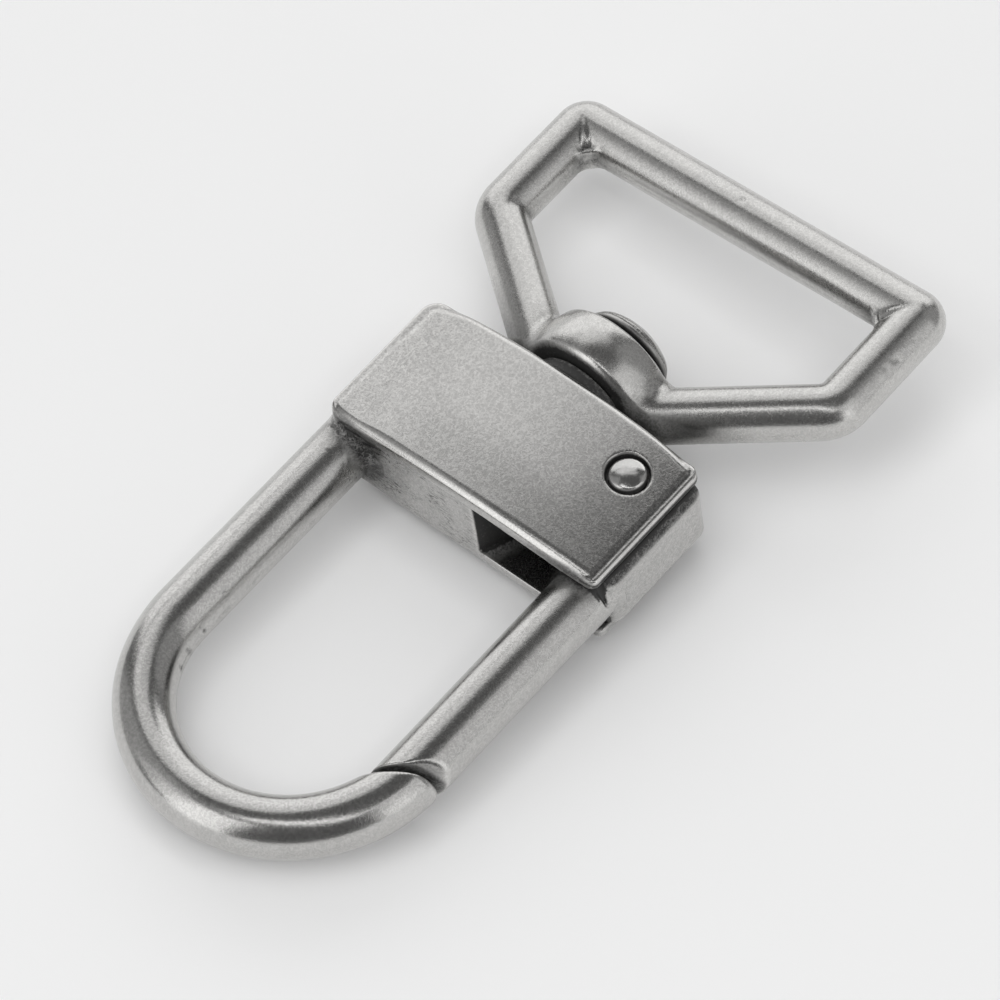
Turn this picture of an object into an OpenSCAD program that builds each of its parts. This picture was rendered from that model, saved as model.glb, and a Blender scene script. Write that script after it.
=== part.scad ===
// Swivel snap hook for 25 mm webbing: a flat housing with a J-shaped arm,
// a sprung gate that swings into the loop, and a strap loop that turns on a post.
// X runs along the swivel axis towards the strap loop, Y across, Z out of the
// front plate. The origin is the centre of the housing's flat rear face.

/* [Strap loop] */
// Clear width inside the loop, for the webbing
strap_width = 25; // [24:0.5:27]
// Diameter of the loop's round bar
loop_bar_d = 3.72; // [3.2:0.02:4]
// Centre line of the far bar, from the origin
loop_far_x = 23.86; // [23:0.02:26]
// Centre line of the corners where the slanted bars begin
loop_corner_x = 15; // [14.6:0.1:15.6]
// Slant of the two bars that run in to the boss
loop_slant = 36.2; // [35:0.1:37.5]
// How far the loop lies turned on its post
loop_turn = -4.2; // [-5:0.1:5]
// Radius of the boss round the post
boss_r = 4.85; // [4.6:0.05:5]
// Middle of the boss, from the origin
boss_x = 8.4; // [8.3:0.05:8.6]
// Near face of the boss, beside the collar
boss_x0 = 6.75; // [6.72:0.01:6.8]
// Flat inner face of the boss
boss_x1 = 10.3; // [10.1:0.05:10.4]

/* [Hook] */
// Diameter of the arm and gate rods
rod_d = 4.2; // [4:0.05:4.3]
// Distance from the middle line to the arm, and to the gate
rod_y = 9.82; // [9.7:0.02:10]
// Height of the rods and of the swivel axis above the rear face
rod_z = 3.4; // [3.38:0.01:3.42]
// Centre of the half-round bend
bend_x = -21.4; // [-24:0.1:-20]
// Gap between the hook's tip and the gate's end
tip_gap = 0.36; // [0.3:0.02:0.5]
// Angle of the cut across the tip
tip_cut = 33; // [25:1:35]

/* [Housing] */
// Length of the housing along X
body_l = 10.84; // [10.8:0.02:10.9]
// Width of the housing
body_w = 22.66; // [22.4:0.02:22.8]
// Height of the plate's top edge at its corners
body_h = 6.6; // [6.5:0.05:6.8]
// Rise of the front plate's camber above those edges
camber = 1; // [0.8:0.05:1.1]
// Height of the pocket's floor, which is the rear plate's thickness
pocket_z0 = 0.85; // [0.8:0.05:0.9]
// Height of the pocket's ceiling
pocket_z1 = 5.9; // [5.85:0.05:5.95]
// Where the pocket's wall meets the open side
pocket_y = -1.05; // [-1.2:0.05:-1]
// Radius of the plan corners
corner_r = 1.3; // [1:0.1:1.5]
// Rounding of the plate's edges
edge_r = 0.5; // [0.4:0.05:0.6]

/* [Pivot and swivel] */
// Gate pivot, along X
pin_x = 2.2; // [2.15:0.01:2.25]
// Gate pivot, across
pin_y = -7.88; // [-7.9:0.01:-7.85]
// Radius of the gate pin
pin_r = 1.2; // [1.15:0.01:1.2]
// Running clearance round the pin and the post
clearance = 0.06; // [0.04:0.01:0.08]
// Radius of the recess round the pin's domed head
recess_r = 1.47; // [1.45:0.01:1.55]
// Radius of the swivel post
post_r = 1.5; // [1.4:0.05:1.6]
// Radius of the post's head
post_head_r = 3.25; // [3.1:0.05:3.3]
// Radius of the collar on the housing
collar_r = 3.5; // [3.3:0.05:3.6]

/* [Hidden] */
$fn = 64;

metal = [0.55, 0.54, 0.52];
rod_r = rod_d / 2;
bar_r = loop_bar_d / 2;
loop_y = strap_width / 2 + bar_r;
// centre-line radius of the loop's bends, just over the bar's own radius
bend_r = bar_r + 0.04;
x0 = -body_l / 2;
x1 = body_l / 2;
hw = body_w / 2;
crown = body_h + camber;
// circle through the plate's two edges and its crown
camber_r = (hw * hw + camber * camber) / (2 * camber);
pocket_r = 3.05;
head_r = 2.75;
head_z0 = pocket_z0 + 0.15;
head_z1 = pocket_z1 - 0.12;
collar_x = boss_x0 - 0.08;
post_head_x = 11.0;
// height of the cambered surface over the gate pin
pin_top = crown - camber_r + sqrt(camber_r * camber_r - pin_y * pin_y);

module tube_x(a, b, r) { translate([a, 0, 0]) rotate([0, 90, 0]) cylinder(h = b - a, r = r); }

// box with its own radius at each vertical corner: near-left, far-left, far-right, near-right
module slab(xa, xb, ya, yb, za, zb, rr) {
    translate([0, 0, za]) linear_extrude(zb - za) difference() {
        translate([xa, ya]) square([xb - xa, yb - ya]);
        corner(xa, yb, 1, -1, rr[0]);
        corner(xb, yb, -1, -1, rr[1]);
        corner(xb, ya, -1, 1, rr[2]);
        corner(xa, ya, 1, 1, rr[3]);
    }
}
// the sliver outside a rounded corner, sx and sy pointing inwards
module corner(x, y, sx, sy, r) {
    difference() {
        translate([x + (sx > 0 ? -1 : -r), y + (sy > 0 ? -1 : -r)]) square([r + 1, r + 1]);
        translate([x + sx * r, y + sy * r]) circle(r = r);
    }
}

// section of the cambered housing, turned about the camber's own axis
module plate_crown() {
    big = camber_r;
    a = 2 * asin((hw + 1) / big);
    translate([0, 0, crown - big]) rotate([0, 90, 0]) rotate([0, 0, 180 - a / 2])
        rotate_extrude(angle = a, $fn = 256) difference() {
            translate([big - 9.5, x0]) square([9.5, body_l]);
            translate([big - edge_r, x0 - 1]) difference() {
                square([edge_r + 1, edge_r + 1]);
                translate([0, edge_r + 1]) circle(r = edge_r);
            }
            translate([big - edge_r, x1 - edge_r]) difference() {
                square([edge_r + 1, edge_r + 1]);
                circle(r = edge_r);
            }
        }
}
// section across the housing, with its two front side edges rounded into the camber
module plate_sides() {
    e = hw - edge_r;
    z = crown - camber_r + sqrt(pow(camber_r - edge_r, 2) - e * e);
    a = asin(e / (camber_r - edge_r));
    translate([x0 - 1, 0, 0]) rotate([90, 0, 90]) linear_extrude(body_l + 2) difference() {
        translate([-hw, 0]) square([body_w, crown + 0.5]);
        for (s = [-1, 1]) difference() {
            polygon([[s * e, z], [s * (e + 2 * sin(a)), z + 2 * cos(a)], [s * (e + 3), z + 2 * cos(a)], [s * (e + 3), z]]);
            translate([s * e, z]) circle(r = edge_r);
        }
    }
}
module housing() {
    intersection() {
        plate_crown();
        plate_sides();
        slab(x0, x1, -hw, hw, 0, crown + 1, [corner_r, corner_r, corner_r, 0.6]);
    }
}
module pocket() {
    translate([0, 0, pocket_z0]) linear_extrude(pocket_z1 - pocket_z0) {
        translate([pin_x, pin_y]) circle(r = pocket_r);
        // wall tangent to the circle round the gate's head
        polygon([[-9, pocket_y], [x0, pocket_y], [pin_x + pocket_r * 0.418, pin_y + pocket_r * 0.908],
                 [pin_x, pin_y], [9, pin_y], [9, -15], [-9, -15]]);
        translate([pin_x, -15]) square([9, 9]);
    }
}
module hook_arm() {
    translate([0, rod_y, rod_z]) tube_x(bend_x, x0 + 0.4, rod_r);
    translate([0, 0, rod_z]) bend(bend_x, 0, 90, 180, rod_y, rod_r, 2);
    translate([0, -rod_y, rod_z]) tube_x(bend_x, bend_x + 2.2, rod_r);
}
// everything on the gate's side of the slanted cut, moved by d along the cut's normal
module gate_side(d) {
    translate([bend_x - 0.74, -rod_y, rod_z]) rotate([0, 0, tip_cut]) translate([d, -6, -6]) cube([12, 12, 12]);
}

module hook_body() {
    color(metal) difference() {
        union() {
            housing();
            translate([0, 0, rod_z]) tube_x(x1 - 0.5, collar_x, collar_r);
            difference() {
                hook_arm();
                gate_side(-tip_gap / 2);
            }
        }
        pocket();
        // hole and recess for the gate pin
        translate([pin_x, pin_y, -1]) cylinder(h = 12, r = pin_r + 0.01);
        translate([pin_x, pin_y, pin_top - 0.55]) cylinder(h = 3, r = recess_r);
        // blind hole for the swivel post
        translate([0, 0, rod_z]) tube_x(0.4, 9, post_r + 0.01);
    }
}

module gate() {
    color(metal) difference() {
        union() {
            translate([0, 0, head_z0]) linear_extrude(head_z1 - head_z0) difference() {
                union() {
                    translate([pin_x, pin_y]) circle(r = head_r);
                    translate([-4.5, -rod_y - rod_r]) square([4.5 + pin_x + head_r - 1, 1.5]);
                    translate([-4.5, -rod_y - rod_r + 1]) square([4.5 + pin_x + head_r, rod_y + rod_r + pin_y - 1]);
                    translate([pin_x + head_r - 1, -rod_y - rod_r + 1]) circle(r = 1);
                    polygon([[-4.5, -rod_y], [-4.5, -rod_y + rod_r], [pin_x - 1.2, pin_y + 2.474], [pin_x, pin_y]]);
                }
                translate([-30, -20]) square([25.5, 20]);
            }
            difference() {
                translate([0, -rod_y, rod_z]) tube_x(bend_x - 6, -3.6, rod_r);
                translate([bend_x - 0.74, -rod_y, rod_z]) rotate([0, 0, tip_cut]) translate([tip_gap / 2 - 40, -15, -6]) cube([40, 30, 12]);
            }
        }
        translate([pin_x, pin_y, -1]) cylinder(h = 12, r = pin_r + clearance);
        // slot for the spring: round the pin, and open towards the pocket's wall for its legs
        translate([pin_x, pin_y, spring_z0]) cylinder(h = spring_z1 - spring_z0, r = 2.2);
        translate([-2.9, pin_y - 2.12, spring_z0]) cube([3.8 + pin_x, 8, spring_z1 - spring_z0]);
    }
}

module gate_pin() {
    top = pin_top + 0.22;
    dome = 0.4;
    sr = (pin_r * pin_r + dome * dome) / (2 * dome);
    color(metal) translate([pin_x, pin_y, 0.04]) {
        cylinder(h = top - dome - 0.04, r = pin_r);
        intersection() {
            cylinder(h = top - 0.04, r = pin_r);
            translate([0, 0, top - 0.04 - sr]) sphere(r = sr);
        }
    }
}

// torsion spring round the pin, one leg on the pocket's wall, the other on the gate
wire_r = 0.25;
coil_r = 1.8;
spring_z0 = 2.15;
spring_z1 = 4.55;
coil_z = 2.6;
coil_rise = 1.5;
leg_a = -90;  // where the gate leg leaves the coil
leg_b = 50;   // where the wall leg leaves it
turns = 2 + (leg_b - leg_a) / 360;
steps = 42;
function on_coil(t) = let (a = leg_a + turns * 360 * t)
    [pin_x + coil_r * cos(a), pin_y + coil_r * sin(a), coil_z + coil_rise * t];
function leg(a, l, z) = [pin_x + coil_r * cos(a) - l * sin(a), pin_y + coil_r * sin(a) + l * cos(a), z];
spring_path = concat(
    [leg(leg_a, -4, coil_z), leg(leg_a, -2, coil_z), leg(leg_a, -0.4, coil_z)],
    [for (i = [0:steps]) on_coil(i / steps)],
    [leg(leg_b, 0.4, coil_z + coil_rise), leg(leg_b, 2, coil_z + coil_rise), leg(leg_b, 3.6, coil_z + coil_rise)]);
function unit(v) = v / norm(v);
module wire(path, r, sides) {
    n = len(path);
    pts = [for (i = [0:n - 1]) let (
            t = unit(path[min(i + 1, n - 1)] - path[max(i - 1, 0)]),
            u = unit(cross([0, 0, 1], t)), v = cross(t, u))
        for (k = [0:sides - 1]) path[i] + r * (cos(360 * k / sides) * u + sin(360 * k / sides) * v)];
    polyhedron(points = pts, faces = concat(
        [[for (k = [sides - 1:-1:0]) k]],
        [for (i = [0:n - 2]) for (k = [0:sides - 1]) [i * sides + k, i * sides + (k + 1) % sides, (i + 1) * sides + (k + 1) % sides, (i + 1) * sides + k]],
        [[for (k = [0:sides - 1]) (n - 1) * sides + k]]));
}
module gate_spring() { color([0.4, 0.4, 0.4]) wire(spring_path, wire_r, 8); }

module swivel_post() {
    dome = 1.1;
    hr = post_head_r - 0.35;
    sr = (hr * hr + dome * dome) / (2 * dome);
    color(metal) translate([0, 0, rod_z]) rotate([0, 90, 0]) rotate_extrude($fn = 96) {
        translate([0, 0.6]) square([post_r, post_head_x - 0.4]);
        translate([0, post_head_x]) square([post_head_r, 0.55]);
        intersection() {
            translate([0, post_head_x + 0.5]) square([hr, dome + 1]);
            translate([0, post_head_x + 0.55 + dome - sr]) circle(r = sr);
        }
    }
}

module bar(a, b) {
    d = b - a;
    translate([a[0], a[1], 0]) rotate([0, 0, atan2(d[1], d[0])]) tube_x(0, norm(d), bar_r);
}
// bend in a bar of radius r from angle a through da. It is 0.02 mm thinner than
// the bars and runs a little way into them, so that they join as one solid.
module bend(x, y, a, da, R, r, lap) {
    translate([x, y, 0]) rotate([0, 0, a - lap]) rotate_extrude(angle = da + 2 * lap, $fn = 96)
        translate([R, 0]) circle(r = r - 0.02, $fn = 64);
}
// side bar, its two bends and the slanted bar, on side s
module half_loop(s) {
    turn = 90 - loop_slant;
    xa = loop_corner_x + bend_r * tan(turn / 2);
    xb = loop_far_x - bend_r;
    y = loop_y - bend_r;
    inner_y = 3.4;
    bend(xb, s * y, s > 0 ? 0 : -90, 90, bend_r, bar_r, 3);
    bend(xa, s * y, s > 0 ? 90 : -90 - turn, turn, bend_r, bar_r, 3);
    translate([xa, s * loop_y, 0]) tube_x(0, xb - xa, bar_r);
    bar([loop_corner_x - (loop_y - inner_y) * tan(loop_slant), s * inner_y],
        [xa - bend_r * cos(loop_slant), s * (y + bend_r * sin(loop_slant))]);
}
module strap_loop() {
    color(metal) translate([0, 0, rod_z]) rotate([loop_turn, 0, 0]) difference() {
        union() {
            bar([loop_far_x, bend_r - loop_y], [loop_far_x, loop_y - bend_r]);
            half_loop(1);
            half_loop(-1);
            translate([boss_x, 0, 0]) sphere(r = boss_r, $fn = 96);
        }
        translate([boss_x0 - 6, -10, -6]) cube([6, 20, 12]);
        translate([boss_x1, -4.4, -6]) cube([4, 8.8, 12]);
        tube_x(4, 14, post_r + clearance + 0.02);
    }
}

hook_body();
gate();
gate_pin();
gate_spring();
swivel_post();
strap_loop();
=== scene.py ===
import bpy, math
import numpy as np
from mathutils import Matrix


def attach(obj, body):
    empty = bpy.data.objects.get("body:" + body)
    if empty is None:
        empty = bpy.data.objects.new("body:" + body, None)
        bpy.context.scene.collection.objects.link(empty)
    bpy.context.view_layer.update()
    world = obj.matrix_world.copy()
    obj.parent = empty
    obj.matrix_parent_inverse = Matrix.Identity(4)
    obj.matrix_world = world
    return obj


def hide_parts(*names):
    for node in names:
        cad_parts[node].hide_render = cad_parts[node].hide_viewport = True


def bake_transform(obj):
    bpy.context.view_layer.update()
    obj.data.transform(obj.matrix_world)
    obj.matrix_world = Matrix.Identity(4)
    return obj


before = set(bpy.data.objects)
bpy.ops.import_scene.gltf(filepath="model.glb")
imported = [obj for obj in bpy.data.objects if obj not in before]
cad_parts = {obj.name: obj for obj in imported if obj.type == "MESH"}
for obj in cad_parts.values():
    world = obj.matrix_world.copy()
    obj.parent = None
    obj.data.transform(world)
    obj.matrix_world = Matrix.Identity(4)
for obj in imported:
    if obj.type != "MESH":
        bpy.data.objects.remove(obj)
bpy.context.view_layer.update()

MM = 0.001

# ---------------------------------------------------------------- the object's sizes, in mm
X0, X1, HW = -5.42, 5.42, 11.33          # housing
CROWN, CAMBER_R = 7.59, 64.7
ROD_R, ROD_Y, ROD_Z, BEND_X = 2.1, 9.82, 3.4, -21.4
PIN = (2.2, -7.88)
BAR_R, LOOP_Y, FAR_X, CORNER_X, SLANT, TURN = 1.86, 14.36, 23.86, 15.0, math.radians(36.2), math.radians(-4.2)
CUT = math.radians(33.0)                  # the slanted cut across the tip
CUT_AT = (BEND_X - 0.74, -ROD_Y)


# ---------------------------------------------------------------- distance functions
def rmax(a, b, r):
    """Intersection with a rounded edge of radius r."""
    return np.minimum(np.maximum(a, b), -r) + np.hypot(np.maximum(a + r, 0), np.maximum(b + r, 0))


def rmin(a, b, r):
    """Union with a fillet of radius r."""
    return np.maximum(np.minimum(a, b), r) - np.hypot(np.maximum(r - a, 0), np.maximum(r - b, 0))


def smooth(lo, hi, t):
    t = np.clip((t - lo) / (hi - lo), 0, 1)
    return t * t * (3 - 2 * t)


def rect(x, y, hx, hy, r):
    """Rounded rectangle in plan; hx, hy and r may vary from point to point."""
    qx, qy = np.abs(x) - hx + r, np.abs(y) - hy + r
    return np.hypot(np.maximum(qx, 0), np.maximum(qy, 0)) + np.minimum(np.maximum(qx, qy), 0) - r


def segment(x, y, z, a, b):
    d = np.array(b, float) - np.array(a, float)
    L2 = (d * d).sum()
    t = np.clip(((x - a[0]) * d[0] + (y - a[1]) * d[1] + (z - a[2]) * d[2]) / L2, 0, 1)
    return np.sqrt((x - a[0] - t * d[0]) ** 2 + (y - a[1] - t * d[1]) ** 2 + (z - a[2] - t * d[2]) ** 2)


def lattice(n, seed):
    return np.random.default_rng(seed).uniform(-1, 1, (n, n, n)).astype(np.float32)


LAT = lattice(32, 7)


def noise(x, y, z, size, shift=0.0):
    """Smooth value noise between -1 and 1 with cells of the given size."""
    n = 32
    p = [np.asarray(c) / size + shift + 17.3 * k for k, c in enumerate((x, y, z))]
    i = [np.floor(c).astype(np.int64) for c in p]
    f = [c - j for c, j in zip(p, i)]
    f = [c * c * (3 - 2 * c) for c in f]
    i0 = [c % n for c in i]
    i1 = [(c + 1) % n for c in i]
    out = 0
    for a in (0, 1):
        for b in (0, 1):
            for c in (0, 1):
                w = (f[0] if a else 1 - f[0]) * (f[1] if b else 1 - f[1]) * (f[2] if c else 1 - f[2])
                out = out + w * LAT[(i1 if a else i0)[0], (i1 if b else i0)[1], (i1 if c else i0)[2]]
    return out


def camber(y, z):
    return np.hypot(y, z - (CROWN - CAMBER_R)) - CAMBER_R


def nicks(x, y, z, marks):
    """Small scratches: (start, end, width, depth)."""
    out = 0
    for a, b, r, depth in marks:
        out = out + depth * np.exp(-(segment(x, y, z, a, b) / r) ** 2)
    return out


def plan_corner(x, y):
    return np.where(x < 0, np.where(y < 0, 0.6, 1.1), np.where(y < 0, 0.85, 1.3))


def cut_side(x, y):
    """Distance from the slanted plane through the tip, positive on the gate's side."""
    return (x - CUT_AT[0]) * math.cos(CUT) + (y - CUT_AT[1]) * math.sin(CUT)


def pocket(x, y, z):
    roof = 6.08 - 0.24 * smooth(1.05, 7.7, -y)
    dz = np.maximum(0.85 - z, z - roof)
    px, py = PIN
    # wall from (X0, -1.05), tangent to the circle of radius 3.05 round the pin
    tx, ty = px + 3.05 * 0.418 - X0, py + 3.05 * 0.908 + 1.05
    n = math.hypot(tx, ty)
    wall = ((x - X0) * -ty + (y + 1.05) * tx) / n
    circle = np.hypot(x - px, y - py) - 3.05
    left = np.where(x < px + 3.05 * 0.418, wall, circle)
    left = np.where((x >= px + 3.05 * 0.418) & (y < py), -1.0, left)
    return rmax(left, dz, 0.16)


def hook_arm(x, y, z):
    arm = np.where(x > BEND_X, np.hypot(y - ROD_Y, z - ROD_Z),
                   np.hypot(np.hypot(x - BEND_X, y) - ROD_Y, z - ROD_Z))
    tip = np.where(x > BEND_X, np.hypot(y + ROD_Y, z - ROD_Z), 99.0)
    arm = np.maximum(arm - ROD_R + 0.024 * smooth(0, 2, BEND_X - x), x + 4.9)
    tip = np.maximum(tip - ROD_R, x - BEND_X - 3.0)
    return arm, tip


def hook_body(x, y, z):
    # housing below the plate
    body = rect(x, y, X1, HW, plan_corner(x, y))
    body = rmax(body, np.maximum(-z, z - 6.6), 0.22)
    # cambered plate: its long edges bow outwards, its edges are rolled
    bow = 0.24 * (1 - (y / HW) ** 2)
    top = camber(y, z)
    edge = 0.42 + (0.33 + 0.2 * smooth(0, 3, x)) * smooth(7.5, 11.2, y) + 0.15 * smooth(0, 5, x)
    plate = rect(x, y, X1 + bow, HW, plan_corner(x, y))
    rim = (1 - (1 - smooth(2.0, 4.6, -x)) * (1 - smooth(7.5, 10.6, -y))) * smooth(-11.0, -6.0, -y)
    worn = (plate + top) * 0.7071 + 0.27 * rim
    plate = rmax(rmax(plate, top, edge), worn, 0.32)
    plate = rmax(plate, -(top + 1.12), 0.14)
    d = rmin(body, plate, 0.07)
    # collar that the loop turns against
    collar = rmax(np.hypot(y, z - ROD_Z) - 3.5, np.maximum(x - 6.65, 2 - x), 0.15)
    d = rmin(d, collar, 0.25)
    # gate pocket
    d = rmax(d, -pocket(x, y, z), 0.1)
    # recess for the pin's head, its rim pressed in a little
    rr = np.hypot(x - PIN[0], y - PIN[1])
    well = np.maximum(rr - 1.47, -(top + 0.7))
    d = rmax(d, -well, 0.17)
    d = np.maximum(d, -np.maximum(rr - 1.2, 5.9 - z))
    d = np.maximum(d, -np.maximum(rr - 1.2, z - 1.2))
    # arm, with a rough fillet at its root
    arm, tip = hook_arm(x, y, z)
    ends = cut_side(x, y) + 0.32
    tip = rmax(np.minimum(arm, tip), np.where(y < 0, ends, -9.0), 0.25 + 0.4 * smooth(10.6, 11.7, -y))
    d = rmin(d, tip, 0.55)
    # rough flash at the root of the arm
    root = smooth(-8.4, -6.3, x) * smooth(5.0, 5.5, -x) * smooth(-3.4, -2.7, -np.hypot(y - ROD_Y, z - ROD_Z)) * smooth(1.0, 0.0, y - ROD_Y)
    d = d + root * (noise(x, y, z, 0.7) * 0.03 + noise(x, y, z, 0.3, 3.1) * 0.015)
    # casting: slow waviness of the skin, the parting line inside the arm, and its marks
    d = d + 0.008 * noise(x, y, z, 3.2, 1.7) + 0.012
    inner = ROD_Y - np.where(x > BEND_X, np.abs(y), np.hypot(x - BEND_X, y))
    line = np.exp(-((z - ROD_Z - 0.02) / 0.12) ** 2) * smooth(1.2, 2.0, inner) * (x < X0 - 1)
    d = d + line * (0.02 + 0.05 * np.maximum(noise(x, y, z, 0.9, 5.5), 0))
    uneven = np.clip(0.5 + 0.9 * noise(x, y, z, 0.25, 6.6), 0, 1.1)
    d = d + uneven * nicks(x, y, z, (((-21.85, 7.8, 4.25), (-21.65, 7.74, 3.5), 0.14, 0.08), ((-23.45, 7.48, 3.9), (-23.25, 7.62, 2.9), 0.18, 0.09),
                                     ((-24.7, 7.08, 4.1), (-24.55, 7.13, 3.4), 0.16, 0.08), ((-19.11, 8.09, 4.58), (-19.1, 8.09, 4.5), 0.16, 0.05)))
    # flow marks of the casting on the near face
    flow = smooth(0.5, 0.0, np.abs(x - X0)) * smooth(6.5, 5.9, z)
    streak = np.maximum(noise(x * 0, y / 5.0 + 0.35 * z, z + 0.25 * y, 0.21, 2.6) - 0.42, 0)
    patch = smooth(0.0, 0.5, noise(x * 0, y, z, 1.7, 11.0) + 0.1)
    return d + flow * patch * streak * 0.16


def gate(x, y, z):
    px, py = PIN
    out = -ROD_Y - ROD_R
    # head: flat outer face, round about the pin
    circle = np.hypot(x - px, y - py) - 2.75
    block = rect(x - 0.15, y - (out + 2.3), 4.8, 2.3, 1.0 + 0 * x)
    ax, ay = -4.6, -ROD_Y + ROD_R
    bx, by = px - 1.2, py + 2.474
    n = math.hypot(bx - ax, by - ay)
    side = ((x - ax) * -(by - ay) + (y - ay) * (bx - ax)) / n
    wedge = np.maximum(np.maximum(side, -(x + 4.6)), np.maximum(x - px, -(y + ROD_Y)))
    plan = np.minimum(rmin(circle, block, 0.4), wedge)
    plan = np.maximum(plan, np.where(x < -3, -(x + 4.75), -9.0))
    head = rmax(plan, z - 5.76, 0.2 + 0.5 * smooth(10.2, 11.3, -y))
    head = rmax(head, 1.0 - z, 0.3)
    # spring slot
    slot = np.maximum(np.maximum(np.hypot(x - px, y - py) - 2.2, 2.15 - z), z - 4.55)
    box = np.maximum(np.maximum(-2.9 - x, x - 3.1), np.maximum(-10.0 - y, np.maximum(2.15 - z, z - 4.55)))
    head = np.maximum(head, -np.minimum(slot, box))
    rod = np.hypot(y + ROD_Y, z - ROD_Z) - ROD_R
    rod = np.maximum(rod, x + 3.4)
    d = rmin(head, rod, 0.28)
    # slanted end, bevelled on its upper outer side
    end = 0.08 - cut_side(x, y)
    d = rmax(d, end, 0.14)
    bevel = -(0.527 * x + 0.713 * y - 0.462 * z + 21.114)
    d = rmax(d, np.where(x < -17, bevel, -9.0), 0.16)
    # dark notch beside the root of the rod
    t = np.clip((5.7 - z) / 1.8, 0, 1)
    notch = np.hypot((x + 4.78 + 0.12 * t) * 1.0, (y + 11.15 + 0.75 * t) * 0.8) - (0.42 - 0.36 * t)
    d = np.maximum(d, -np.maximum(notch, 3.85 - z))
    # marks along the head's rounded upper edge
    d = d + smooth(0.7, 0.2, np.hypot(y + 11.5, z - 5.4)) * 0.05 * np.maximum(noise(x, y, z, 0.5, 3.3), 0)
    d = d + 0.008 * noise(x, y, z, 3.0, 9.2) + 0.01
    return np.maximum(d, 1.24 - np.hypot(x - px, y - py))


def loop_path(x, y):
    """Distance in the loop's plane from its centre line."""
    y = np.abs(y)
    R1, R2 = 0.5, 1.9
    turn = math.pi / 2 - SLANT
    t2 = R2 * math.tan(turn / 2)
    sx, sy = -math.sin(SLANT), -math.cos(SLANT)
    pts = [((FAR_X, 0), (FAR_X, LOOP_Y - R1)), ((FAR_X - R1, LOOP_Y), (CORNER_X + t2, LOOP_Y)),
           ((CORNER_X + sx * t2, LOOP_Y + sy * t2), (CORNER_X + sx * 13.2, LOOP_Y + sy * 13.2))]
    d = 99.0
    for a, b in pts:
        e = (b[0] - a[0], b[1] - a[1])
        t = np.clip(((x - a[0]) * e[0] + (y - a[1]) * e[1]) / (e[0] ** 2 + e[1] ** 2), 0, 1)
        d = np.minimum(d, np.hypot(x - a[0] - t * e[0], y - a[1] - t * e[1]))
    # the two bends
    cx, cy = FAR_X - R1, LOOP_Y - R1
    arc = np.abs(np.hypot(x - cx, y - cy) - R1)
    d = np.where((x > cx) & (y > cy), np.minimum(d, arc), d)
    cx, cy = CORNER_X + t2, LOOP_Y - R2
    inside = (x < cx) & ((x - cx) * sx + (y - cy) * sy < 0)
    arc = np.abs(np.hypot(x - cx, y - cy) - R2)
    return np.where(inside, np.minimum(d, arc), d)


def to_loop(x, y, z):
    c, s = math.cos(TURN), math.sin(TURN)
    z = z - ROD_Z
    return x, c * y + s * z, -s * y + c * z


def strap_loop(x, y, z):
    x, y, z = to_loop(x, y, z)
    bars = np.hypot(loop_path(x, y), z) - BAR_R
    # cast-in web that fills the two corners of the far bar
    ay = np.abs(y)
    face = (FAR_X - x - BAR_R + LOOP_Y - ay - BAR_R) / math.sqrt(2) - 0.36
    web = rmax(face, np.abs(z) - 0.95, 0.12)
    web = np.maximum(web, -(FAR_X - x - BAR_R) - 1.0)
    web = np.maximum(web, -(LOOP_Y - ay - BAR_R) - 1.0)
    web = np.maximum(web, 18 - x)
    bars = rmin(bars, web, 0.22)
    # fillets inside the corners
    far = np.hypot(x - FAR_X, z) - BAR_R
    side = np.hypot(ay - LOOP_Y, z) - BAR_R
    inner = np.minimum(FAR_X - x, LOOP_Y - ay)
    r = 0.9 * smooth(0.2, 2.0, inner) + 0.001
    bars = np.minimum(bars, np.where((inner > 0.2) & (far < r) & (side < r), rmin(far, side, r), 99.0))
    # boss round the post
    ball = np.sqrt((x - 8.4) ** 2 + y * y + z * z) - 4.85
    boss = rmax(ball, 6.75 - x, 0.42)
    boss = rmax(boss, x - 10.3, 0.3)
    bars = rmax(bars, 6.78 - x, 0.5)
    d = rmin(boss, bars, 0.9)
    d = np.maximum(d, np.minimum(1.58 - np.hypot(y, z), 11.5 - x))
    # casting: slow waviness, the parting line round the inside, rough inner corners and small pits
    line = np.exp(-(z / 0.10) ** 2) * smooth(10.5, 11.5, x) * (x < FAR_X - 1.2) * (ay < LOOP_Y - 1.0)
    corner = smooth(1.9, 0.6, np.hypot(np.hypot(x - (FAR_X - 2.2), ay - (LOOP_Y - 2.2)), z * 0.8))
    d = d + corner * 0.03 * noise(x, y, z, 0.45, 1.9)
    d = d + nicks(x, y, z, (((23.15, 13.65, -0.29), (23.1, 13.65, -0.29), 0.2, 0.06), ((24.02, 0.6, 1.77), (24.1, 0.5, 1.77), 0.24, 0.05),
                            ((19.75, -15.52, 3.42 - 2.3), (19.95, -15.6, 1.1), 0.26, 0.06), ((18.84, -15.42, 1.2), (18.9, -15.42, 1.2), 0.22, 0.05),
                            ((21.7, -15.5, 1.1), (22.0, -15.5, 1.1), 0.2, 0.05)))
    return d + 0.008 * noise(x, y, z, 3.0, 4.4) + 0.012 + line * 0.03


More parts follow.
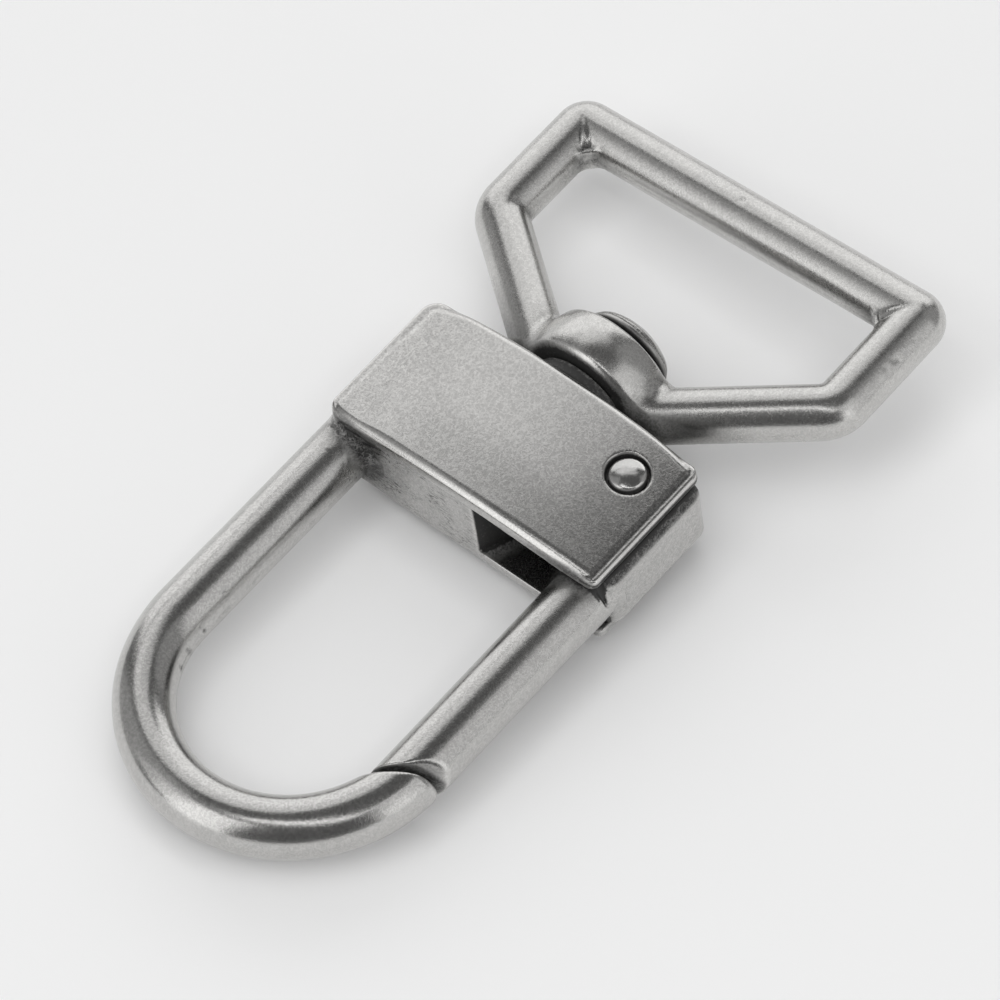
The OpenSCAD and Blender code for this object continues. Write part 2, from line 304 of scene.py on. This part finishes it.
# ---------------------------------------------------------------- meshing
def on_grid(f, lo, hi, h):
    """The function on a grid; only blocks near the surface are worked out point by point."""
    B = 6
    nb = [int(math.ceil((b - a) / h / B)) + 1 for a, b in zip(lo, hi)]
    c = [a + h * (B * np.arange(k) + (B - 1) / 2) for a, k in zip(lo, nb)]
    C = f(*np.meshgrid(*c, indexing="ij"))
    near = np.argwhere(np.abs(C) < 0.5 * B * h * 1.74 + 0.15)
    F = np.kron(np.where(C < 0, -1, 1), np.ones((B, B, B), np.int8)).astype(np.float32)
    o = np.stack(np.meshgrid(*[np.arange(B)] * 3, indexing="ij"), -1).reshape(-1, 3)
    for i in range(0, len(near), 2000):
        idx = (near[i:i + 2000, None] * B + o).reshape(-1, 3)
        x, y, z = (lo[k] + h * idx[:, k] for k in range(3))
        F[idx[:, 0], idx[:, 1], idx[:, 2]] = f(x, y, z)
    return F


def surface_nets(F):
    """Vertices in grid units and quads of the zero surface."""
    S = F < 0
    dims = [k - 1 for k in F.shape]
    stride = (dims[1] * dims[2], dims[2], 1)
    total = dims[0] * dims[1] * dims[2]
    sums = np.zeros((total, 3))
    count = np.zeros(total)
    edges = []
    for a in range(3):
        lo = [slice(None)] * 3
        hi = [slice(None)] * 3
        lo[a], hi[a] = slice(0, -1), slice(1, None)
        A, B = F[tuple(lo)], F[tuple(hi)]
        idx = np.argwhere(S[tuple(lo)] != S[tuple(hi)])
        va, vb = A[tuple(idx.T)].astype(float), B[tuple(idx.T)].astype(float)
        pos = idx.astype(float)
        pos[:, a] += va / (va - vb)
        b, c = (a + 1) % 3, (a + 2) % 3
        cells = []
        for db, dc in ((0, 0), (-1, 0), (-1, -1), (0, -1)):
            q = idx.copy()
            q[:, b] += db
            q[:, c] += dc
            flat = q[:, 0] * stride[0] + q[:, 1] * stride[1] + q[:, 2]
            for k in range(3):
                sums[:, k] += np.bincount(flat, pos[:, k], total)
            count += np.bincount(flat, minlength=total)
            cells.append(flat)
        quad = np.stack(cells, 1)
        flip = va < 0
        quad[~flip] = quad[~flip][:, ::-1]
        edges.append(quad)
    used = np.flatnonzero(count)
    V = sums[used] / count[used][:, None]
    index = np.full(total, -1)
    index[used] = np.arange(len(used))
    return V, index[np.concatenate(edges)]


def gradient(f, V, e):
    g = np.empty_like(V)
    for k in range(3):
        d = np.zeros(3)
        d[k] = e
        P, M = V + d, V - d
        g[:, k] = f(P[:, 0], P[:, 1], P[:, 2]) - f(M[:, 0], M[:, 1], M[:, 2])
    g /= 2 * e
    return g


def solid(name, f, lo, hi, h):
    F = on_grid(f, lo, hi, h)
    V, Q = surface_nets(F)
    V = V * h + np.array(lo)
    for _ in range(3):
        d = f(V[:, 0], V[:, 1], V[:, 2])
        g = gradient(f, V, 0.3 * h)
        step = d[:, None] * g / np.maximum((g * g).sum(1), 0.25)[:, None]
        n = np.linalg.norm(step, axis=1)[:, None]
        V -= step * np.minimum(1, 0.4 * h / np.maximum(n, 1e-9))
    N = gradient(f, V, 0.35 * h)
    N /= np.maximum(np.linalg.norm(N, axis=1), 1e-9)[:, None]
    return make(name, V, Q, N, f, *finish_and_painted_shade(V))


def finish_and_painted_shade(V):
    """Where the colour is darkened, and where the skin shows flow marks. The darkening is partly the black
    finish left in recesses and partly painted shade in gaps between parts, inside the pocket and under the
    plate's edges.
    """
    x, y, z = V.T
    q = np.hypot(y, z - ROD_Z)
    # painted shade in the gap between the housing's collar and the loop's boss, together with the black finish
    # left there
    dark = 0.9 * smooth(0.0, 0.25, x - X1) * smooth(4.6, 4.0, q) * smooth(11.2, 10.6, x)
    # painted shade inside the gate pocket, together with the black finish left there
    inside = (y < -1.0) & (z > 0.95) & (z < 6.2) & (x > X0 + 0.12) & (x < X1 + 0.1) & (y > -11.5)
    dark = np.maximum(dark, 0.97 * inside * (pocket(x, y, z) < 0.35))
    # painted shade in the narrow ring round the pin's head in its recess
    rr = np.hypot(x - PIN[0], y - PIN[1])
    dark = np.maximum(dark, 0.85 * (z > 4) * smooth(0.2, 0.12, np.abs(rr - 1.42)) * smooth(0.02, 0.25, CROWN - y * y / 2 / CAMBER_R - z))
    # painted shadow along the band under the plate's edge, over the gate head's rounded top
    dark = np.maximum(dark, 0.8 * smooth(5.1, 5.5, z) * smooth(6.3, 6.1, z) * smooth(-11.1, -11.3, y) * (np.abs(x) < 5.7))
    # painted shade at the arm's root, under the plate
    arm = np.hypot(y - ROD_Y, z - ROD_Z)
    dark = np.maximum(dark, 0.55 * smooth(1.6, 0.2, X0 - x) * smooth(-0.25, 0.1, X0 - x) * (arm < 3.1) * smooth(-0.5, -2.0, y - 11.3))
    # painted shade in the groove under the plate's rim along the near face
    dark = np.maximum(dark, 0.6 * smooth(0.3, 0.05, np.abs(x - X0)) * smooth(5.9, 6.3, z) * smooth(6.9, 6.6, z))
    # painted shade: the plate is made darker along its near side, most of all at the right
    near = np.maximum(0.15 * np.exp(-((x + 2.5) / 4.5) ** 2 - ((y + 9.0) / 3.2) ** 2), 0.15 * smooth(0.5, -3.5, x) * smooth(7.5, 3.5, y))
    dark = np.maximum(dark, near * smooth(6.5, 6.9, z) * smooth(-5.2, -4.6, x))
    marks = smooth(0.12, 0.03, np.abs(x - X0)) * smooth(6.4, 6.0, z) * (y > -1.5)
    marks = np.maximum(marks, 0.35 * smooth(0.7, 0.4, np.hypot(y + 11.5, z - 5.3)) * (np.abs(x) < 5.0))
    return dark, marks


def shade(f, V, N):
    """How open each point is to its surroundings, and how sharply the skin bends there."""
    openness = np.ones(len(V))
    for r, w in ((0.35, 0.45), (0.8, 0.4), (1.8, 0.4), (3.6, 0.35)):
        P = V + N * r
        openness *= 1 - w * (1 - np.clip(scene_distance(P[:, 0], P[:, 1], P[:, 2]) / r, 0, 1))
    e = 0.3
    lap = -6 * f(V[:, 0], V[:, 1], V[:, 2])
    for k in range(3):
        for s in (-e, e):
            P = V.copy()
            P[:, k] += s
            lap = lap + f(P[:, 0], P[:, 1], P[:, 2])
    return openness, np.clip(lap / (e * e) / 4, -1, 1)


def make(name, V, Q, N, f, dark, marks):
    me = bpy.data.meshes.new(name)
    me.from_pydata((V * MM).tolist(), [], Q.tolist())
    me.polygons.foreach_set("use_smooth", np.ones(len(me.polygons), bool))
    me.normals_split_custom_set_from_vertices(N.tolist())
    # the openness, times the recess darkening, goes to the material, where it darkens the colour as painted
    # shade
    o, c = shade(f, V, N)
    for key, val in (("open", o * (1 - dark)), ("bend", c), ("marks", marks)):
        a = me.attributes.new(key, "FLOAT", "POINT")
        a.data.foreach_set("value", val.astype(np.float32))
    ob = bpy.data.objects.new(name, me)
    bpy.context.scene.collection.objects.link(ob)
    return ob


def post(x, y, z):
    r = np.hypot(y, z - ROD_Z)
    shank = rmax(r - 1.5, np.maximum(x - 11.1, 4 - x), 0.05)
    flange = rmax(r - 3.24, np.maximum(x - 11.36, 10.98 - x), 0.13)
    dome = np.sqrt((x - (12.62 - 5.15)) ** 2 + r * r) - 5.15
    dome = rmax(dome, r - 3.16, 0.28)
    dome = rmax(dome, 11.42 - x, 0.06)
    d = np.minimum(np.minimum(flange, dome), shank)
    d = rmin(d, rmax(r - 3.05, np.maximum(x - 11.5, 11.2 - x), 0.02), 0.05)
    return d + 0.012 * noise(x, y, z, 0.8, 2.2) + 0.01 * noise(x, y, z, 0.35, 6.2)


def pin(x, y, z):
    r = np.hypot(x - PIN[0], y - PIN[1])
    ball = np.sqrt(r * r + (z - (7.33 - 2.8)) ** 2) - 2.8
    head = rmax(rmax(ball, r - 1.25, 0.14), 6.45 - z, 0.05)
    shank = rmax(r - 1.17, np.maximum(z - 6.8, 0.05 - z), 0.1)
    return np.minimum(head, shank) + 0.006 * noise(x, y, z, 0.8, 8.8) + 0.006


def scene_distance(x, y, z):
    return np.minimum(np.minimum(hook_body(x, y, z), gate(x, y, z)),
                      np.minimum(np.minimum(strap_loop(x, y, z), post(x, y, z)), pin(x, y, z)))


H = 0.145
body_ob = solid("housing_and_arm", hook_body, (-33.8, -12.4, -0.45), (7.1, 12.4, 8.1), H)
gate_ob = solid("gate_casting", gate, (-24.0, -12.4, 0.5), (5.6, -4.6, 6.2), H * 0.76)
loop_ob = solid("loop_casting", strap_loop, (6.3, -16.7, -1.9), (26.2, 16.7, 8.7), H)
post_ob = solid("post_head", post, (3.5, -3.7, -0.4), (13.0, 3.7, 7.2), 0.12)
pin_ob = solid("pin_rivet", pin, (0.7, -9.4, -0.3), (3.7, -6.4, 7.8), 0.08)


# ---------------------------------------------------------------- spring, a round wire with a smooth sweep
def wire(name, path, r, sides):
    P = np.array(path, float)
    T = np.gradient(P, axis=0)
    T /= np.linalg.norm(T, axis=1)[:, None]
    U = np.cross([0, 0, 1.0], T)
    U /= np.linalg.norm(U, axis=1)[:, None]
    W = np.cross(T, U)
    a = np.linspace(0, 2 * np.pi, sides, endpoint=False)
    V = (P[:, None] + r * (np.cos(a)[None, :, None] * U[:, None] + np.sin(a)[None, :, None] * W[:, None])).reshape(-1, 3)
    n = len(P)
    Q = [[i * sides + k, i * sides + (k + 1) % sides, (i + 1) * sides + (k + 1) % sides, (i + 1) * sides + k]
         for i in range(n - 1) for k in range(sides)]
    Q += [list(range(sides))[::-1], [(n - 1) * sides + k for k in range(sides)]]
    me = bpy.data.meshes.new(name)
    me.from_pydata((V * MM).tolist(), [], Q)
    me.polygons.foreach_set("use_smooth", np.ones(len(me.polygons), bool))
    ob = bpy.data.objects.new(name, me)
    bpy.context.scene.collection.objects.link(ob)
    return ob


def spring_path():
    c, rise, z0, a0, a1 = 1.8, 1.5, 2.6, math.radians(-90), math.radians(50 + 720)

    def leg(a, l, z):
        return (PIN[0] + c * math.cos(a) - l * math.sin(a), PIN[1] + c * math.sin(a) + l * math.cos(a), z)
    start = [leg(a0, -l, z0) for l in np.linspace(3.98, 0.2, 14)]
    coil = [(PIN[0] + c * math.cos(a0 + (a1 - a0) * t), PIN[1] + c * math.sin(a0 + (a1 - a0) * t), z0 + rise * t)
            for t in np.linspace(0, 1, 150)]
    end = [leg(a1, l, z0 + rise) for l in np.linspace(0.2, 3.58, 14)]
    return start + coil + end


spring_ob = wire("spring_wire", spring_path(), 0.24, 16)


# ---------------------------------------------------------------- materials
def nickel(name, base, rough, grain=1.0, mottle=1.0, shade_and_patina_strength=1.0, attributes=True):
    """Satin antique nickel: fine tumbled grain, soft mottling, darker in recesses (partly the black finish,
    partly painted shade) and brighter on worn edges.
    """
    m = bpy.data.materials.new(name)
    m.use_nodes = True
    nt = m.node_tree
    nt.nodes.clear()
    N, L = nt.nodes.new, nt.links.new
    out = N("ShaderNodeOutputMaterial")
    bsdf = N("ShaderNodeBsdfPrincipled")
    L(bsdf.outputs[0], out.inputs[0])
    bsdf.inputs["Metallic"].default_value = 1.0
    tc = N("ShaderNodeTexCoord")

    def tex(scale, detail, rough_, distort=0.0):
        n = N("ShaderNodeTexNoise")
        n.inputs["Scale"].default_value = scale
        n.inputs["Detail"].default_value = detail
        n.inputs["Roughness"].default_value = rough_
        n.inputs["Distortion"].default_value = distort
        L(tc.outputs["Object"], n.inputs["Vector"])
        return n.outputs["Fac"]

    def math_(op, a, b=None, c=None, clamp=False):
        n = N("ShaderNodeMath")
        n.operation = op
        n.use_clamp = clamp
        for i, v in enumerate((a, b, c)):
            if v is None:
                continue
            if isinstance(v, (int, float)):
                n.inputs[i].default_value = v
            else:
                L(v, n.inputs[i])
        return n.outputs[0]

    def attr(key):
        n = N("ShaderNodeAttribute")
        n.attribute_name = key
        return n.outputs["Fac"]

    def ridge(n, width):
        """Thin winding lines where the noise passes its middle value."""
        away = math_("ABSOLUTE", math_("SUBTRACT", n, 0.5))
        return math_("SUBTRACT", 1.0, math_("MULTIPLY", away, 1.0 / width), clamp=True)

    worm = tex(3100, 1.0, 0.5, 0.7)      # winding marks of the tumbling, 0.2 to 0.3 mm
    lines = ridge(worm, 0.10)
    fine = tex(7000, 2.0, 0.6)           # 0.1 mm grain
    slow = tex(420, 3.0, 0.55)           # 2 mm cloudiness
    # colour; the marks are strongest on the flats
    tone = math_("MULTIPLY", math_("SUBTRACT", lines, 0.4), 0.25 * mottle)
    tone = math_("MULTIPLY_ADD", math_("SUBTRACT", fine, 0.5), 0.62 * mottle, tone)
    if attributes:
        op, bend = attr("open"), attr("bend")
        calm = math_("MULTIPLY_ADD", math_("MAXIMUM", bend, 0.0), -3.6, 1.0)
        tone = math_("MULTIPLY", tone, math_("MAXIMUM", calm, 0.62))
    tone = math_("ADD", tone, 1.0)
    tone = math_("MULTIPLY_ADD", math_("SUBTRACT", slow, 0.5), 0.16, tone)
    if attributes:
        # painted shade: the colour is darkened where the point is closed in by its surroundings, other parts
        # included; this stands partly for the black finish left in recesses
        patina_and_painted_shade = math_("SUBTRACT", 1.0, op)
        patina_and_painted_shade = math_("MULTIPLY", patina_and_painted_shade, math_("MULTIPLY_ADD", slow, 0.5, 0.75))
        tone = math_("MULTIPLY_ADD", patina_and_painted_shade, -1.05 * shade_and_patina_strength, tone)
        worn = math_("MAXIMUM", math_("SUBTRACT", bend, 0.25), 0.0)
        tone = math_("MULTIPLY_ADD", worn, 0.35, tone)
        # painted shade in creases: the colour is darkened where the skin bends inwards, together with the black
        # finish left there
        hollow = math_("MAXIMUM", math_("SUBTRACT", math_("MULTIPLY", bend, -1.0), 0.12), 0.0)
        tone = math_("MULTIPLY_ADD", hollow, -0.55 * shade_and_patina_strength, tone)
        # short dark flow marks, drawn out along the housing
        stretch = N("ShaderNodeMapping")
        stretch.inputs["Scale"].default_value = (1.0, 0.22, 1.0)
        L(tc.outputs["Object"], stretch.inputs["Vector"])
        streak = N("ShaderNodeTexNoise")
        streak.inputs["Scale"].default_value = 2600
        streak.inputs["Detail"].default_value = 1.0
        streak.inputs["Distortion"].default_value = 1.6
        L(stretch.outputs[0], streak.inputs["Vector"])
        where = math_("MULTIPLY", math_("SUBTRACT", slow, 0.45), 10.0, clamp=True)
        cut = math_("MULTIPLY", math_("MULTIPLY", ridge(streak.outputs["Fac"], 0.045), where), attr("marks"))
        tone = math_("MULTIPLY_ADD", cut, -0.75, tone)
    tone = math_("MAXIMUM", math_("MINIMUM", tone, 1.55), 0.07)
    mix = N("ShaderNodeMix")
    mix.data_type = "RGBA"
    mix.blend_type = "MULTIPLY"
    mix.inputs["Factor"].default_value = 1.0
    mix.inputs["A"].default_value = (*base, 1)
    comb = N("ShaderNodeCombineColor")
    for i in range(3):
        L(tone, comb.inputs[i])
    L(comb.outputs[0], mix.inputs["B"])
    L(mix.outputs["Result"], bsdf.inputs["Base Color"])
    # roughness
    r = math_("MULTIPLY_ADD", math_("SUBTRACT", fine, 0.5), 0.16, rough)
    r = math_("MULTIPLY_ADD", math_("SUBTRACT", slow, 0.5), 0.10, r)
    if attributes:
        r = math_("MULTIPLY_ADD", patina_and_painted_shade, 0.3, r)
        # where the recess darkening is strong (partly the black finish left in recesses, partly painted shade)
        # the surface is made an oxide, not bare metal
        oxide = math_("MULTIPLY", math_("SUBTRACT", patina_and_painted_shade, 0.3), 1.4, clamp=True)
        L(math_("MULTIPLY_ADD", oxide, -0.9, 1.0), bsdf.inputs["Metallic"])
    r = math_("MAXIMUM", math_("MINIMUM", r, 0.7), 0.12)
    L(r, bsdf.inputs["Roughness"])
    # grain relief
    h = math_("MULTIPLY_ADD", lines, 0.16, math_("MULTIPLY", fine, 0.45))
    if attributes:
        h = math_("MULTIPLY_ADD", cut, -0.9, h)
    bump = N("ShaderNodeBump")
    bump.inputs["Strength"].default_value = 0.24 * grain
    bump.inputs["Distance"].default_value = 0.00003
    L(h, bump.inputs["Height"])
    L(bump.outputs[0], bsdf.inputs["Normal"])
    return m


BASE = (0.535, 0.529, 0.517)
mat_body = nickel("satin_nickel_body", BASE, 0.21)
mat_gate = nickel("satin_nickel_gate", (0.525, 0.519, 0.507), 0.21)
mat_loop = nickel("satin_nickel_loop", (0.56, 0.554, 0.541), 0.245)
mat_post = nickel("steel_post", (0.40, 0.395, 0.386), 0.24, grain=0.7, mottle=0.6)
mat_pin = nickel("steel_pin", (0.55, 0.545, 0.535), 0.15, grain=0.4, mottle=0.35)
mat_spring = nickel("spring_wire", (0.36, 0.36, 0.36), 0.25, grain=0.3, mottle=0.3, attributes=False)

for ob, mat, body, node, slot in (
        (body_ob, mat_body, "hook", "hook_body", "casting"),
        (gate_ob, mat_gate, "gate", "gate", "gate_casting"),
        (loop_ob, mat_loop, "loop", "strap_loop", "loop_casting"),
        (post_ob, mat_post, "hook", "swivel_post", "post_steel"),
        (pin_ob, mat_pin, "hook", "gate_pin", "pin_steel"),
        (spring_ob, mat_spring, "hook", "gate_spring", "spring_steel")):
    ob.data.materials.append(mat)
    if ob == spring_ob:
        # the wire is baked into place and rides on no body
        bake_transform(ob)
    else:
        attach(ob, body)
    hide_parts(node)

# ---------------------------------------------------------------- camera, from the photograph's perspective
R = np.array([[0.6459288674269862, -0.7573591531885218, -0.09582802985586147],
              [-0.6733158540744701, -0.5060467748513754, -0.5390384237830248],
              [0.35975221872346724, 0.4127030103404703, -0.8368121452150751]])
EYE = np.array([-151.72550035835448, -171.87174082122965, 350.1644925786211]) * MM
cam = bpy.data.cameras.new("camera")
cam.sensor_width = 36
cam.lens = 6453.094 / 1000 * 36
cam.clip_start, cam.clip_end = 0.01, 50
cam_ob = bpy.data.objects.new("camera", cam)
bpy.context.scene.collection.objects.link(cam_ob)
M = Matrix.Identity(4)
for i in range(3):
    M[i][0], M[i][1], M[i][2], M[i][3] = R[0][i], -R[1][i], -R[2][i], EYE[i]
cam_ob.matrix_world = M
bpy.context.scene.camera = cam_ob

# ---------------------------------------------------------------- floor, under the bend and the boss, where the hook really rests
me = bpy.data.meshes.new("floor")
a, b = -0.002050, -0.0694          # height at the origin and slope along X
S = 4.0
me.from_pydata([(x, y, a + b * x) for x, y in ((-S, -S), (S, -S), (S, S), (-S, S))], [], [(0, 1, 2, 3)])
floor = bpy.data.objects.new("floor", me)
bpy.context.scene.collection.objects.link(floor)
fm = bpy.data.materials.new("paper")
fm.use_nodes = True
p = fm.node_tree.nodes["Principled BSDF"]
p.inputs["Base Color"].default_value = (0.86, 0.86, 0.86, 1)
p.inputs["Roughness"].default_value = 0.9
me.materials.append(fm)


# ---------------------------------------------------------------- studio light
def panel(name, pos, normal, side, w, h, radiance, glossy=True):
    """A soft rectangular light at pos that shines along -normal; side is the direction of its width."""
    li = bpy.data.lights.new(name, "AREA")
    li.shape = "RECTANGLE"
    li.size, li.size_y = w, h
    li.energy = radiance * math.pi * w * h
    ob = bpy.data.objects.new(name, li)
    bpy.context.scene.collection.objects.link(ob)
    n, s = np.array(normal, float), np.array(side, float)
    n, s = n / np.linalg.norm(n), s / np.linalg.norm(s)
    up = np.cross(n, s)
    M = Matrix.Identity(4)
    for i in range(3):
        M[i][0], M[i][1], M[i][2], M[i][3] = s[i], up[i], n[i], pos[i]
    ob.matrix_world = M
    ob.visible_glossy = glossy
    return ob


def wall(name, az, half, bottom, top, radiance, dist=1.0):
    """An upright soft box: middle azimuth, half width, and its lower and upper edges' elevation, in degrees."""
    A = math.radians(az)
    d = np.array([math.cos(A), math.sin(A), 0.0])
    z0, z1 = dist * math.tan(math.radians(bottom)), dist * math.tan(math.radians(top))
    w = 2 * dist * math.tan(math.radians(half))
    panel(name, (*(d * dist)[:2], (z0 + z1) / 2), d, (-math.sin(A), math.cos(A), 0), w, z1 - z0, radiance)


wall("back_low", 40, 42, 0, 42, 1.10)
wall("back_middle", 49, 32, 42, 57, 0.84)
wall("back_high", 42, 36, 57, 66, 0.66)
wall("left_back", 165, 16, 0, 60, 1.30)
wall("left_back_edge", 143, 7, 12, 60, 0.80)
wall("left_back_side", 131, 5, 18, 60, 0.42)
wall("right_front_low", -93, 10, 0, 30, 1.05)
wall("right_front_high", -93, 10, 30, 57, 0.75)
wall("right_front_side", -70, 13, 0, 55, 0.66)
wall("right_fill", -34, 22, 0, 60, 0.21)
wall("left_fill", 112, 18, 0, 66, 0.27)
panel("strip_above", (-0.36, -0.32, 1.2), (0, 0, 1), (0, 1, 0), 1.15, 0.19, 1.75)
panel("over_floor", (-0.35, -0.35, 1.5), (0, 0, 1), (1, 0, 0), 1.7, 1.7, 1.75, glossy=False)

w = bpy.data.worlds.new("studio")
w.use_nodes = True
w.node_tree.nodes["Background"].inputs[0].default_value = (0.115, 0.115, 0.115, 1)
bpy.context.scene.world = w
bpy.context.scene.view_settings.view_transform = "Standard"
bpy.context.scene.view_settings.look = "None"
